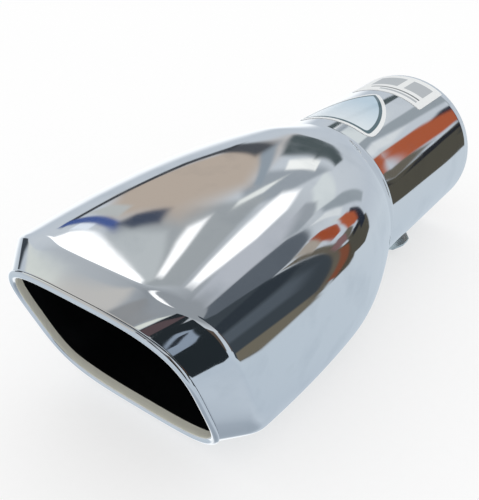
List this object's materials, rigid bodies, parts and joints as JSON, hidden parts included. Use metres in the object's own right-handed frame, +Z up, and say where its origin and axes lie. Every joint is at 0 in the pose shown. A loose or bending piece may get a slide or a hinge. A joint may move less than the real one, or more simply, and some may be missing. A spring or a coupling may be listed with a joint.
{
  "type": "exhaust tip",
  "caption": "Clamp-on exhaust tip of polished sheet steel: round inlet neck, squared swelling body, slanted mouth with a bevelled collar and rolled lip, and a set screw on the neck.",
  "frame": {"origin": "centre of the inlet end, on the neck's axis", "axes": "+X along the neck's axis from the inlet to the mouth, +Z up through the stickers, +Y to the side that carries the clamp screw"},
  "size_m": [0.1957, 0.0849, 0.0672],
  "materials": {
    "polished_steel": "mirror polish",
    "zinc_plate": "zinc plated",
    "badge_film": "gloss film",
    "label_film": "matt film"
  },
  "bodies": {
    "tip": {"tip_shell": "polished_steel", "weld_nut": "zinc_plate", "badge_sticker": "badge_film", "label_sticker": "label_film"},
    "screw": {"clamp_screw": "zinc_plate"}
  },
  "joints": [
    {"name": "clamp_screw_feed", "type": "slide", "parent": "tip", "child": "screw", "axis": [0, -0.5446, 0.8387], "range_m": [-0.002, 0.003]}
  ]
}
